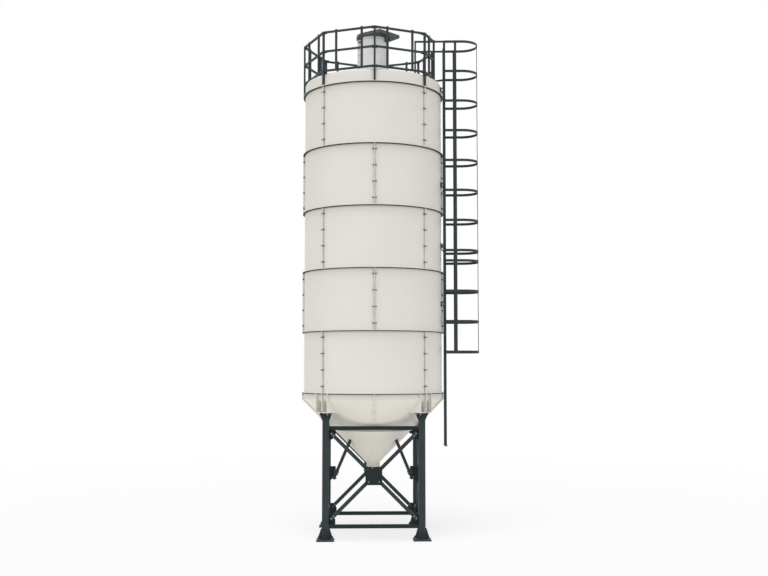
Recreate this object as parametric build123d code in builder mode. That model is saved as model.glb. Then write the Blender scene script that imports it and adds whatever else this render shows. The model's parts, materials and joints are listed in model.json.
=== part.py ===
"""Bolted cement silo on four braced legs, with a hopper, a roof filter,
a guardrail and a caged ladder. Millimetres, Z up, X to the right, Y to the back.
The origin lies on the ground, under the middle of the silo."""

from build123d import *
from math import atan2, cos, degrees, pi, radians, sin, sqrt, tan
import os

os.makedirs("parts", exist_ok=True)

# Fits between pieces
face_gap = 0.3
bolt_gap = 1.0

# Shell of bolted panels
shell_radius = 1500.0
sheet = 5.0
base_height = 3030.0
ring_height = 1300.0
ring_count = 5
panels_per_ring = 4
flange_width = 45.0
flange_thickness = 6.0

# Hopper and outlet
skirt_height = 130.0
upper_cone_height = 677.0
lower_cone_height = 713.0
neck_length = 160.0
neck_radius = 140.0
notch_gap = 8.0
outlet_flange_radius = 205.0
outlet_flange_thickness = 14.0
outlet_bolt_circle = 355.0
outlet_bolt_hole = 18.0
outlet_bolt_count = 8

# Roof
cap_height = 265.0
cap_edge_radius = 55.0
roof_slope = 7.0
hatch_radius = 300.0
hatch_height = 90.0
hatch_distance = 900.0
hatch_azimuth = 150.0
hatch_lip = 18.0
hatch_lid_thickness = 40.0
hatch_hinge_width = 220.0
hatch_hinge_radius = 16.0
hatch_handle_width = 160.0
hatch_handle_rise = 54.0
hatch_handle_bar = 16.0

# Dust filter on the roof
filter_radius = 305.0
filter_rise = 1075.0
filter_base_radius = 345.0
filter_base_height = 70.0
filter_flange_width = 45.0
filter_flange_thickness = 12.0
lid_thickness = 75.0
lid_radius = 375.0
lid_nose_reach = 505.0
lid_nose_width = 640.0
lid_nose_azimuth = -45.0
lid_edge = 10.0

# Legs
leg_clearance = 133.0
leg_drop = 410.0
leg_width = 140.0
leg_corner_radius = 12.0
foot_width = 370.0
foot_thickness = 22.0
foot_gusset_height = 228.0
foot_gusset_thickness = 10.0
foot_rib_inset = 20.0
anchor_hole = 26.0
anchor_spacing = 290.0
cap_plate_width = 262.0
cap_plate_thickness = 16.0
cap_gusset_height = 155.0

# Leg seats under the shell
seat_thickness = 16.0
seat_width = 345.0
seat_rib_thickness = 12.0
seat_rib_count = 3

# Bracing between the legs
tie_height = 80.0
tie_depth = 50.0
upper_tie_drop = 355.0
lower_tie_bottom = 250.0
bar_width = 76.0
bar_depth = 50.0
bar_start = 84.0
bar_drop = 22.0
brace_offset = 15.0
gusset_thickness = 10.0
centre_gusset_width = 350.0
centre_gusset_height = 377.0
corner_gusset_width = 135.0
corner_gusset_height = 195.0

# Struts from the side frames up to the hopper
strut_width = 66.0
strut_foot_inset = 155.0
strut_foot_drop = 141.0
strut_head_rise = 510.0
strut_head_angle = 50.0
strut_bracket_place = 150.0
strut_bracket_width = 180.0
strut_bracket_rise = 126.0
strut_bracket_drop = 245.0

# Guardrail round the roof
post_offset = 24.0
rail_width = 40.0
rail_rises = (53.0, 470.0, 885.0)
guard_bar_rise = 20.0
guard_sides = 8
gate_front = 480.0
gate_back = 400.0

# Ladder, cage and handrails
ladder_turn = -3.2
ladder_offset = 75.0
stile_depth = 50.0
stile_width = 20.0
ladder_width = 450.0
ladder_drop = 1150.0
rung_width = 26.0
rung_pitch = 280.0
ladder_foot_width = 90.0
ladder_foot_thickness = 6.0
cage_half_width = 370.0
cage_arm = 370.0
hoop_height = 56.0
hoop_thickness = 6.0
hoop_pitch = 658.0
cage_rise = 909.0
lower_hoop_count = 4
upper_hoop_count = 8
cage_joint_gap = 224.0
strap_width = 52.0
strap_thickness = 12.0
side_strap_offset = 237.0
bracket_rings = (1.47, 2.44, 3.47, 5.1)
bracket_root = 64.0
bracket_spread = 150.0
bracket_arm = 30.0
bracket_thickness = 8.0
handrail_width = 36.0
handrail_reach = 635.0
handrail_foot = 90.0
handrail_foot_thickness = 8.0
gate_bar_width = 36.0

# Worked out from the sizes above
shell_top = base_height + ring_count * ring_height
skirt_bottom = base_height - skirt_height
hopper_joint_height = skirt_bottom - upper_cone_height
neck_top = hopper_joint_height - lower_cone_height
neck_bottom = neck_top - neck_length
hopper_slope = (shell_radius - neck_radius) / (skirt_bottom - neck_top)
flange_radius = shell_radius + flange_width
cap_top = shell_top + cap_height
roof_rise = tan(radians(roof_slope))


def hopper_radius(height):
    """Outer radius of the hopper cone at a height."""
    return neck_radius + (height - neck_top) * hopper_slope


def roof_height(radius):
    """Height of the roof's outer skin at a distance from the axis."""
    return cap_top + (shell_radius - cap_edge_radius - radius) * roof_rise


# The legs stand clear of the cone, on a whole number of centimetres.
leg_top = base_height - leg_drop
leg_place = round(hopper_radius(leg_top) / sqrt(2) + leg_clearance, -1)
hopper_joint_radius = hopper_radius(hopper_joint_height)
tie_length = 2 * leg_place - leg_width
brace_place = leg_place + brace_offset
upper_tie_bottom = leg_top - upper_tie_drop
brace_middle_height = (leg_top + foot_thickness) / 2
ladder_radius = shell_radius + ladder_offset
ladder_bottom = base_height - ladder_drop
ladder_top = cap_top + cage_rise + hoop_height / 2
upper_cage_start = cap_top + cage_rise - (upper_hoop_count - 1) * hoop_pitch
ladder_joint = upper_cage_start - cage_joint_gap / 2
lower_cage_start = upper_cage_start - cage_joint_gap - (lower_hoop_count - 1) * hoop_pitch


# Shell rings: quarter panels with flanges turned outwards on all four edges.
# One ring's seams stand half a panel round from those of the next.
panel_angle = 360 / panels_per_ring
panel_height = ring_height - face_gap
with BuildPart() as panel:
    with BuildSketch(Plane.XZ) as panel_profile:
        with Locations((shell_radius - sheet, 0)):
            Rectangle(sheet, panel_height, align=(Align.MIN, Align.MIN))
        for edge in (0, panel_height - flange_thickness):
            with Locations((shell_radius - sheet, edge)):
                Rectangle(flange_width + sheet, flange_thickness, align=(Align.MIN, Align.MIN))
    revolve(axis=Axis.Z, revolution_arc=panel_angle)
    for angle, side in ((0, -1), (panel_angle, 1)):
        seam_plane = Plane.XZ.rotated((0, 0, angle))
        with BuildSketch(seam_plane) as seam_profile:
            with Locations((shell_radius - sheet, 0)):
                Rectangle(flange_width + sheet, panel_height, align=(Align.MIN, Align.MIN))
        extrude(amount=side * flange_thickness)
    with BuildSketch(Plane.XZ) as seam_gap:
        with Locations((shell_radius - 2 * sheet, -sheet)):
            Rectangle(2 * flange_width, ring_height + 2 * sheet, align=(Align.MIN, Align.MIN))
    extrude(amount=face_gap / 2, both=True, mode=Mode.SUBTRACT)

for ring_number in range(1, ring_count + 1):
    first_seam = panel_angle / 2 if ring_number % 2 else 0
    with BuildPart() as shell_ring:
        with Locations((0, 0, base_height + (ring_number - 1) * ring_height)):
            with PolarLocations(0, panels_per_ring, start_angle=first_seam):
                add(panel.part)
    shell_ring.part.label = f"shell_ring_{ring_number}"
    export_step(shell_ring.part, f"parts/shell_ring_{ring_number}.step")


# Upper hopper: a short skirt and the top of the cone, in four segments with
# flanges along their seams and along the joint with the lower cone.
cone_lean = sqrt(1 + hopper_slope**2)
wall_across_cone = sheet * cone_lean
flange_across_cone = flange_width * cone_lean
segment_top = base_height - face_gap
with BuildPart() as segment:
    with BuildSketch(Plane.XZ) as segment_profile:
        with BuildLine():
            Polyline(
                (shell_radius, segment_top),
                (shell_radius, skirt_bottom),
                (hopper_joint_radius, hopper_joint_height),
                (hopper_joint_radius - wall_across_cone, hopper_joint_height),
                (shell_radius - sheet, skirt_bottom + (wall_across_cone - sheet) / hopper_slope),
                (shell_radius - sheet, segment_top),
                close=True,
            )
        make_face()
        with Locations((shell_radius - sheet, segment_top - flange_thickness)):
            Rectangle(flange_width + sheet, flange_thickness, align=(Align.MIN, Align.MIN))
        with Locations((hopper_joint_radius - sheet, hopper_joint_height)):
            Rectangle(flange_width + sheet, flange_thickness, align=(Align.MIN, Align.MIN))
    revolve(axis=Axis.Z, revolution_arc=panel_angle)
    for angle, side in ((0, -1), (panel_angle, 1)):
        with BuildSketch(Plane.XZ.rotated((0, 0, angle))) as hopper_seam:
            with BuildLine():
                Polyline(
                    (shell_radius - sheet, segment_top),
                    (shell_radius - sheet, skirt_bottom),
                    (hopper_joint_radius - sheet, hopper_joint_height),
                    (hopper_joint_radius + flange_across_cone, hopper_joint_height),
                    (flange_radius, skirt_bottom - (flange_across_cone - flange_width) / hopper_slope),
                    (flange_radius, segment_top),
                    close=True,
                )
            make_face()
        extrude(amount=side * flange_thickness)
    with BuildSketch(Plane.XZ) as hopper_gap:
        with Locations((0, hopper_joint_height - sheet)):
            Rectangle(2 * shell_radius, shell_radius, align=(Align.MIN, Align.MIN))
    extrude(amount=face_gap / 2, both=True, mode=Mode.SUBTRACT)
    with BuildSketch(Plane.XY.offset(upper_tie_bottom - notch_gap)) as tie_notches:
        with PolarLocations(brace_place, 2, angular_range=180):
            Rectangle(tie_depth + 2 * notch_gap, shell_radius)
    extrude(amount=tie_height + 2 * notch_gap, mode=Mode.SUBTRACT)

with BuildPart() as hopper_segments:
    with PolarLocations(0, panels_per_ring):
        add(segment.part)
hopper_segments.part.label = "hopper_segments"
export_step(hopper_segments.part, "parts/hopper_segments.step")


# Lower hopper: one smooth cone that ends in a straight neck.
cone_top = hopper_joint_height - face_gap
cone_top_radius = hopper_radius(cone_top)
with BuildPart() as hopper_cone:
    with BuildSketch(Plane.XZ) as cone_profile:
        with BuildLine():
            Polyline(
                (cone_top_radius, cone_top),
                (neck_radius, neck_top),
                (neck_radius, neck_bottom),
                (neck_radius - sheet, neck_bottom),
                (neck_radius - sheet, neck_top + (wall_across_cone - sheet) / hopper_slope),
                (cone_top_radius - wall_across_cone, cone_top),
                close=True,
            )
        make_face()
        with Locations((cone_top_radius - sheet, cone_top - flange_thickness)):
            Rectangle(flange_width + sheet, flange_thickness, align=(Align.MIN, Align.MIN))
    revolve(axis=Axis.Z)
hopper_cone.part.label = "hopper_cone"
export_step(hopper_cone.part, "parts/hopper_cone.step")


# Outlet flange, where a valve or a feeder is bolted on.
with BuildPart() as outlet_flange:
    with BuildSketch(Plane.XY.offset(neck_bottom - outlet_flange_thickness)):
        Circle(outlet_flange_radius)
        Circle(neck_radius - sheet, mode=Mode.SUBTRACT)
        with PolarLocations(outlet_bolt_circle / 2, outlet_bolt_count):
            Circle(outlet_bolt_hole / 2, mode=Mode.SUBTRACT)
    extrude(amount=outlet_flange_thickness)
outlet_flange.part.label = "outlet_flange"
export_step(outlet_flange.part, "parts/outlet_flange.step")


# Space that the hopper takes, with a small gap, to cut pieces that seat on it.
with BuildPart() as hopper_space:
    with BuildSketch(Plane.XZ):
        with BuildLine():
            Polyline(
                (0, base_height),
                (shell_radius + face_gap, base_height),
                (shell_radius + face_gap, skirt_bottom),
                (neck_radius + face_gap, neck_top),
                (0, neck_top),
                close=True,
            )
        make_face()
    revolve(axis=Axis.Z)


# Leg seats: a level plate under each leg's corner of the skirt, carried by
# three ribs that are cut to the line of the skirt and the cone.
seat_bottom = leg_top + face_gap
seat_top = seat_bottom + seat_thickness
rib_top = segment_top - flange_thickness - face_gap
seat_inner = hopper_radius(seat_bottom)
rib_spacing = (seat_width - seat_rib_thickness) / (seat_rib_count - 1)
with BuildPart() as leg_seat:
    with BuildSketch(Plane.XY.offset(seat_bottom)):
        with Locations((seat_inner - flange_width, 0)):
            Rectangle(flange_radius - seat_inner + flange_width, seat_width, align=(Align.MIN, Align.CENTER))
    extrude(amount=seat_thickness)
    with BuildSketch(Plane.XY.offset(seat_top)):
        with Locations((seat_inner - flange_width, 0)):
            with GridLocations(0, rib_spacing, 1, seat_rib_count):
                Rectangle(
                    flange_radius - seat_inner + flange_width,
                    seat_rib_thickness,
                    align=(Align.MIN, Align.CENTER),
                )
    extrude(amount=rib_top - seat_top)
    add(hopper_space.part, mode=Mode.SUBTRACT)

with BuildPart() as leg_seats:
    with PolarLocations(0, 4, start_angle=45):
        add(leg_seat.part)
leg_seats.part.label = "leg_seats"
export_step(leg_seats.part, "parts/leg_seats.step")


# Legs: square tube with a flared head under its cap plate and a ribbed foot.
with BuildPart() as leg:
    with BuildSketch():
        Rectangle(foot_width, foot_width)
        with GridLocations(anchor_spacing, anchor_spacing, 2, 2):
            Circle(anchor_hole / 2, mode=Mode.SUBTRACT)
    extrude(amount=foot_thickness)
    with BuildSketch(Plane.XY.offset(foot_thickness)):
        RectangleRounded(leg_width, leg_width, leg_corner_radius)
    extrude(amount=leg_top - cap_plate_thickness - foot_thickness)
    with BuildSketch(Plane.XY.offset(leg_top - cap_plate_thickness)):
        Rectangle(cap_plate_width, cap_plate_width)
    extrude(amount=cap_plate_thickness)
    for rib_plane in (Plane.XZ, Plane.YZ):
        with BuildSketch(rib_plane) as leg_ribs:
            with BuildLine():
                Polyline(
                    (foot_width / 2 - foot_rib_inset, foot_thickness),
                    (leg_width / 2 + foot_rib_inset, foot_thickness + foot_gusset_height),
                    (-leg_width / 2 - foot_rib_inset, foot_thickness + foot_gusset_height),
                    (foot_rib_inset - foot_width / 2, foot_thickness),
                    close=True,
                )
            make_face()
            with BuildLine():
                Polyline(
                    (cap_plate_width / 2, leg_top - cap_plate_thickness),
                    (leg_width / 2, leg_top - cap_plate_thickness - cap_gusset_height),
                    (-leg_width / 2, leg_top - cap_plate_thickness - cap_gusset_height),
                    (-cap_plate_width / 2, leg_top - cap_plate_thickness),
                    close=True,
                )
            make_face()
        extrude(amount=foot_gusset_thickness / 2, both=True)

leg_places = {
    "leg_front_left": (-leg_place, -leg_place),
    "leg_front_right": (leg_place, -leg_place),
    "leg_back_left": (-leg_place, leg_place),
    "leg_back_right": (leg_place, leg_place),
}
for leg_name, place in leg_places.items():
    with BuildPart() as placed_leg:
        with Locations(place):
            add(leg.part)
    placed_leg.part.label = leg_name
    export_step(placed_leg.part, f"parts/{leg_name}.step")


# Ties: level bars between the legs, in the middle of each leg's width.
for tie_name, tie_bottom in (("upper_ties", upper_tie_bottom), ("lower_ties", lower_tie_bottom)):
    with BuildPart() as ties:
        with BuildSketch(Plane.XY.offset(tie_bottom)):
            with PolarLocations(brace_place, 4):
                Rectangle(tie_depth, tie_length)
        extrude(amount=tie_height)
    ties.part.label = tie_name
    export_step(ties.part, f"parts/{tie_name}.step")


# Diagonals: four half bars in each face, which meet behind the middle gusset
# and end beside the leg, just clear of the tie.
bar_climb = upper_tie_bottom - bar_drop - brace_middle_height
bar_angle = atan2(bar_climb, tie_length / 2)
bar_end = tie_length / 2 - bar_width / 2 * sin(bar_angle) - bolt_gap
bar_length = bar_end / cos(bar_angle) - bar_start
with BuildPart() as face_bars:
    with BuildSketch(Plane.XZ.offset(brace_place)):
        for angle in (bar_angle, pi - bar_angle, pi + bar_angle, -bar_angle):
            bar_middle = Vector(cos(angle), sin(angle)) * (bar_start + bar_length / 2)
            with Locations(Location((bar_middle.X, brace_middle_height + bar_middle.Y), degrees(angle))):
                Rectangle(bar_length, bar_width)
    extrude(amount=bar_depth / 2, both=True)

face_turns = {"front": 0, "right": 90, "back": 180, "left": 270}
for face_name, turn in face_turns.items():
    with BuildPart() as diagonals:
        with Locations(Rotation(0, 0, turn)):
            add(face_bars.part)
    diagonals.part.label = f"{face_name}_diagonals"
    export_step(diagonals.part, f"parts/{face_name}_diagonals.step")


# Middle gussets: a plate over the crossing on each face. The two side faces
# also have one on the inside, with a bracket for the foot of a strut.
bars_outside = brace_place + bar_depth / 2
bars_inside = brace_place - bar_depth / 2
bracket_outer = bars_inside - gusset_thickness
bracket_inner = bracket_outer - strut_bracket_width
bracket_top = brace_middle_height + strut_bracket_rise
bracket_bottom = brace_middle_height - strut_bracket_drop
with BuildPart() as outer_gusset:
    with BuildSketch(Plane.XZ.offset(bars_outside)):
        with Locations((0, brace_middle_height)):
            Rectangle(centre_gusset_width, centre_gusset_height)
    extrude(amount=gusset_thickness)

with BuildPart() as strut_gusset:
    with BuildSketch(Plane.YZ.offset(bracket_outer)):
        with Locations((0, brace_middle_height)):
            Rectangle(centre_gusset_width, centre_gusset_height)
    extrude(amount=gusset_thickness)
    with BuildSketch(Plane.XZ.offset(strut_bracket_place)):
        with BuildLine():
            Polyline(
                (bracket_outer, bracket_top),
                (bracket_inner, bracket_top),
                (bracket_inner, bracket_bottom + strut_bracket_width),
                (bracket_outer, bracket_bottom),
                close=True,
            )
        make_face()
    extrude(amount=gusset_thickness)

with BuildPart() as middle_gussets:
    with PolarLocations(0, 4):
        add(outer_gusset.part)
    add(strut_gusset.part)
    mirror(strut_gusset.part, about=Plane.YZ)
middle_gussets.part.label = "middle_gussets"
export_step(middle_gussets.part, "parts/middle_gussets.step")


# Corner gussets: plates behind the bars, welded to the leg and the tie.
leg_face = leg_place - leg_width / 2
tie_faces = ((lower_tie_bottom + tie_height, 1), (upper_tie_bottom, -1))
with BuildPart() as corner_gusset:
    with BuildSketch(Plane.XZ.offset(bars_inside - gusset_thickness)):
        for tie_face, way in tie_faces:
            for side in (-1, 1):
                with BuildLine():
                    Polyline(
                        (side * leg_face, tie_face),
                        (side * (leg_face - corner_gusset_width), tie_face),
                        (side * (leg_face - corner_gusset_width), tie_face + way * corner_gusset_height / 2),
                        (side * (leg_face - corner_gusset_width / 2), tie_face + way * corner_gusset_height),
                        (side * leg_face, tie_face + way * corner_gusset_height),
                        close=True,
                    )
                make_face()
    extrude(amount=gusset_thickness)

with BuildPart() as corner_gussets:
    with PolarLocations(0, 4):
        add(corner_gusset.part)
corner_gussets.part.label = "corner_gussets"
export_step(corner_gussets.part, "parts/corner_gussets.step")


# Struts: square bars from the side brackets up to the front of the cone,
# cut to its slope.
strut_foot_y = -strut_bracket_place - gusset_thickness - face_gap - strut_width / 2
strut_foot = Vector(leg_place - strut_foot_inset, strut_foot_y, brace_middle_height - strut_foot_drop)
strut_head_height = neck_top + strut_head_rise
strut_head_radius = hopper_radius(strut_head_height)
head_angle = radians(strut_head_angle)
strut_head_x = strut_head_radius * sin(head_angle)
strut_head_y = -strut_head_radius * cos(head_angle)
strut_head = Vector(strut_head_x, strut_head_y, strut_head_height)
strut_line = strut_head - strut_foot
strut_plane = Plane(origin=strut_foot, x_dir=(0, 1, 0), z_dir=strut_line)
with BuildPart() as strut:
    with BuildSketch(strut_plane):
        Rectangle(strut_width, strut_width)
    extrude(amount=strut_line.length)
    add(hopper_space.part, mode=Mode.SUBTRACT)

with BuildPart() as hopper_struts:
    add(strut.part)
    mirror(strut.part, about=Plane.YZ)
hopper_struts.part.label = "hopper_struts"
export_step(hopper_struts.part, "parts/hopper_struts.step")


# Roof cap: a flanged rim that turns over a rounded edge into a shallow cone.
cap_bottom = shell_top + face_gap
roof_sheet = sheet / cos(radians(roof_slope))
with BuildPart() as roof_cap:
    with BuildSketch(Plane.XZ) as cap_profile:
        with BuildLine():
            Polyline(
                (shell_radius, cap_bottom),
                (shell_radius, roof_height(shell_radius)),
                (0, roof_height(0)),
                (0, roof_height(0) - roof_sheet),
                (shell_radius - sheet, roof_height(shell_radius - sheet) - roof_sheet),
                (shell_radius - sheet, cap_bottom),
                close=True,
            )
        make_face()
        for edge_radius in (cap_edge_radius, cap_edge_radius - sheet):
            rim_points = cap_profile.vertices().filter_by_position(
                Axis.X, shell_radius - 2 * sheet, shell_radius
            )
            fillet(rim_points.sort_by(Axis.Y)[-1], radius=edge_radius)
        with Locations((shell_radius - sheet, cap_bottom)):
            Rectangle(flange_width + sheet, flange_thickness, align=(Align.MIN, Align.MIN))
    revolve(axis=Axis.Z)
roof_cap.part.label = "roof_cap"
export_step(roof_cap.part, "parts/roof_cap.step")


# Space under the roof's skin, with a small gap, to cut pieces that stand on it.
with BuildPart() as roof_space:
    with BuildSketch(Plane.XZ):
        with BuildLine():
            Polyline(
                (0, shell_top),
                (shell_radius, shell_top),
                (shell_radius, roof_height(shell_radius) + face_gap),
                (0, roof_height(0) + face_gap),
                close=True,
            )
        make_face()
    revolve(axis=Axis.Z)


# Roof hatch: a round collar with a lid, a hinge on the side of the filter and a
# bow handle on the far side.
hatch_roof = roof_height(hatch_distance)
hatch_top = hatch_roof + hatch_height + hatch_lid_thickness
handle_place = hatch_distance + hatch_radius / 2
hinge_place = hatch_distance - hatch_radius - hatch_hinge_radius / 2
with BuildPart() as roof_hatch:
    with BuildSketch(Plane.XY.offset(shell_top).rotated((0, 0, hatch_azimuth))):
        with Locations((hatch_distance, 0)):
            Circle(hatch_radius - hatch_lip)
    extrude(amount=hatch_roof + hatch_height - shell_top)
    with BuildSketch(Plane.XY.offset(hatch_roof + hatch_height).rotated((0, 0, hatch_azimuth))):
        with Locations((hatch_distance, 0)):
            Circle(hatch_radius)
    extrude(amount=hatch_lid_thickness)
    fillet(roof_hatch.edges().group_by(Axis.Z)[-1], radius=hatch_lip)
    with BuildSketch(Plane.XZ.rotated((0, 0, hatch_azimuth))):
        with Locations((hinge_place, hatch_roof + hatch_height)):
            Circle(hatch_hinge_radius)
    extrude(amount=hatch_hinge_width / 2, both=True)
    with BuildSketch(Plane.YZ.rotated((0, 0, hatch_azimuth)).offset(handle_place)):
        with Locations((0, hatch_top)):
            Rectangle(hatch_handle_width, hatch_handle_rise, align=(Align.CENTER, Align.MIN))
            Rectangle(
                hatch_handle_width - 2 * hatch_handle_bar,
                hatch_handle_rise - hatch_handle_bar,
                align=(Align.CENTER, Align.MIN),
                mode=Mode.SUBTRACT,
            )
    extrude(amount=hatch_handle_bar / 2, both=True)
    add(roof_space.part, mode=Mode.SUBTRACT)
roof_hatch.part.label = "roof_hatch"
export_step(roof_hatch.part, "parts/roof_hatch.step")


# Dust filter: a collar on the roof, a round body with upright flanges at its
# sides, and a lid whose square nose reaches out to the front right.
filter_base_top = roof_height(filter_base_radius) + filter_base_height
with BuildPart() as filter_base:
    with BuildSketch(Plane.XY.offset(shell_top)):
        Circle(filter_base_radius)
    extrude(amount=filter_base_top - shell_top)
    add(roof_space.part, mode=Mode.SUBTRACT)
filter_base.part.label = "filter_base"
export_step(filter_base.part, "parts/filter_base.step")

filter_bottom = filter_base_top + face_gap
filter_top = cap_top + filter_rise
with BuildPart() as filter_body:
    with BuildSketch(Plane.XY.offset(filter_bottom)):
        Circle(filter_radius)
        Rectangle(2 * (filter_radius + filter_flange_width), filter_flange_thickness)
    extrude(amount=filter_top - filter_bottom)
filter_body.part.label = "filter_body"
export_step(filter_body.part, "parts/filter_body.step")

with BuildPart() as filter_lid:
    with BuildSketch(Plane.XY.offset(filter_top + face_gap).rotated((0, 0, lid_nose_azimuth))):
        Circle(lid_radius)
        with Locations((lid_nose_reach - lid_edge, 0)):
            Rectangle(2 * lid_edge, lid_nose_width)
        make_hull()
    extrude(amount=lid_thickness)
    fillet(filter_lid.edges().group_by(Axis.Z)[-1], radius=lid_edge)
filter_lid.part.label = "filter_lid"
export_step(filter_lid.part, "parts/filter_lid.step")


# Guardrail: seven posts on the cap's flange at the corners of an octagon. The
# corner at the ladder stays open.
corner_angle = 360 / guard_sides
post_radius = shell_radius + post_offset
post_bottom = cap_bottom + flange_thickness + face_gap
rail_heights = [cap_top + rise for rise in rail_rises]
rail_top = rail_heights[-1] + rail_width / 2
open_range = 360 - corner_angle
with BuildPart() as guardrail_posts:
    with BuildSketch(Plane.XY.offset(post_bottom)):
        with PolarLocations(post_radius, guard_sides - 1, start_angle=corner_angle, angular_range=open_range):
            Rectangle(rail_width, rail_width)
    extrude(amount=rail_top - post_bottom)
guardrail_posts.part.label = "guardrail_posts"
export_step(guardrail_posts.part, "parts/guardrail_posts.step")

half_corner = radians(corner_angle / 2)
side_distance = post_radius * cos(half_corner)
side_half = post_radius * sin(half_corner)
post_side = (rail_width / 2 + face_gap) / cos(half_corner)


def rail_end(distance):
    """Where a rail's edge meets the post's side, at a distance from the axis."""
    return side_half - post_side + (distance - side_distance) * tan(half_corner)


def guard_panel(name, turn, left_cut=None, right_cut=None):
    """One side of the guardrail: three rails and two upright bars.

    It is drawn facing the front and turned to its side. A cut end stops at the
    ladder's gate with an upright of its own."""
    near = side_distance - rail_width / 2
    far = side_distance + rail_width / 2
    left_near, left_far = -rail_end(near), -rail_end(far)
    right_near, right_far = rail_end(near), rail_end(far)
    bars = [-side_half / 2, side_half / 2]
    if left_cut is not None:
        left_near = left_far = left_cut
        bars[0] = left_cut + rail_width / 2
    if right_cut is not None:
        right_near = right_far = right_cut
        bars[1] = right_cut - rail_width / 2
    with BuildPart() as flat_panel:
        for height in rail_heights:
            with BuildSketch(Plane.XY.offset(height - rail_width / 2)):
                with BuildLine():
                    Polyline(
                        (left_near, -near),
                        (left_far, -far),
                        (right_far, -far),
                        (right_near, -near),
                        close=True,
                    )
                make_face()
            extrude(amount=rail_width)
        with BuildSketch(Plane.XY.offset(rail_heights[0] - rail_width / 2)):
            with Locations(*[(bar, -side_distance) for bar in bars]):
                Rectangle(rail_width, rail_width)
        extrude(amount=rail_top + guard_bar_rise + rail_width / 2 - rail_heights[0])
    with BuildPart() as guard_side:
        with Locations(Rotation(0, 0, turn)):
            add(flat_panel.part)
    guard_side.part.label = name
    export_step(guard_side.part, f"parts/{name}.step")


gate_front_end = side_half - gate_front / cos(half_corner)
gate_back_end = side_half - gate_back / cos(half_corner)
first_turn = corner_angle / 2
guard_panel("guardrail_front_left", -first_turn)
guard_panel("guardrail_front_right", first_turn)
guard_panel("guardrail_right_front", first_turn + corner_angle, right_cut=gate_front_end)
guard_panel("guardrail_right_back", first_turn + 2 * corner_angle, left_cut=-gate_back_end)
guard_panel("guardrail_back_right", first_turn + 3 * corner_angle)
guard_panel("guardrail_back_left", first_turn + 4 * corner_angle)
guard_panel("guardrail_left_back", first_turn + 5 * corner_angle)
guard_panel("guardrail_left_front", first_turn + 6 * corner_angle)


# Ladder: two lengths of flat stile, with square rungs up to the roof's edge.
# The stiles run on past the roof, so that a person steps through between them.
ladder_side = Plane.XZ.rotated((0, 0, ladder_turn))
first_rung = ladder_bottom + rung_pitch / 2
rung_count = int((cap_top - first_rung) / rung_pitch) + 1
rung_levels = [first_rung + rung_pitch * rung for rung in range(rung_count)]
ladder_lengths = {"ladder_lower": (ladder_bottom, ladder_joint), "ladder_upper": (ladder_joint, ladder_top)}
for ladder_name, (foot, head) in ladder_lengths.items():
    with BuildPart() as ladder:
        with BuildSketch(Plane.XY.offset(foot).rotated((0, 0, ladder_turn))):
            with Locations((ladder_radius, 0)):
                with GridLocations(0, ladder_width, 1, 2):
                    Rectangle(stile_depth, stile_width)
        extrude(amount=head - foot)
        with BuildSketch(ladder_side):
            with Locations(*[(ladder_radius, level) for level in rung_levels if foot < level < head]):
                Rectangle(rung_width, rung_width)
        extrude(amount=ladder_width / 2, both=True)
        if foot == ladder_bottom:
            with BuildSketch(Plane.XY.offset(foot).rotated((0, 0, ladder_turn))):
                with Locations((ladder_radius, 0)):
                    with GridLocations(0, ladder_width, 1, 2):
                        Rectangle(ladder_foot_width, ladder_foot_width)
            extrude(amount=ladder_foot_thickness)
    ladder.part.label = ladder_name
    export_step(ladder.part, f"parts/{ladder_name}.step")


# Cage: flat hoops round the climber, each turned in to the stiles at its ends,
# with three straps inside them.
cage_middle = ladder_radius + cage_arm
cage_inside = cage_half_width - hoop_thickness / 2
cage_outside = cage_half_width + hoop_thickness / 2
mouth_half = (ladder_width + stile_width) / 2 + face_gap
with BuildPart() as hoop:
    with BuildSketch(Plane.XY.offset(-hoop_height / 2)):
        with Locations((ladder_radius - hoop_thickness / 2, 0)):
            Rectangle(cage_arm + hoop_thickness / 2, 2 * cage_outside, align=(Align.MIN, Align.CENTER))
        with Locations((cage_middle, 0)):
            Circle(cage_outside)
        with Locations((ladder_radius + hoop_thickness / 2, 0)):
            Rectangle(
                cage_arm - hoop_thickness / 2,
                2 * cage_inside,
                align=(Align.MIN, Align.CENTER),
                mode=Mode.SUBTRACT,
            )
        with Locations((cage_middle, 0)):
            Circle(cage_inside, mode=Mode.SUBTRACT)
        with Locations((ladder_radius, 0)):
            Rectangle(2 * hoop_thickness, 2 * mouth_half, mode=Mode.SUBTRACT)
    extrude(amount=hoop_height)

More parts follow.
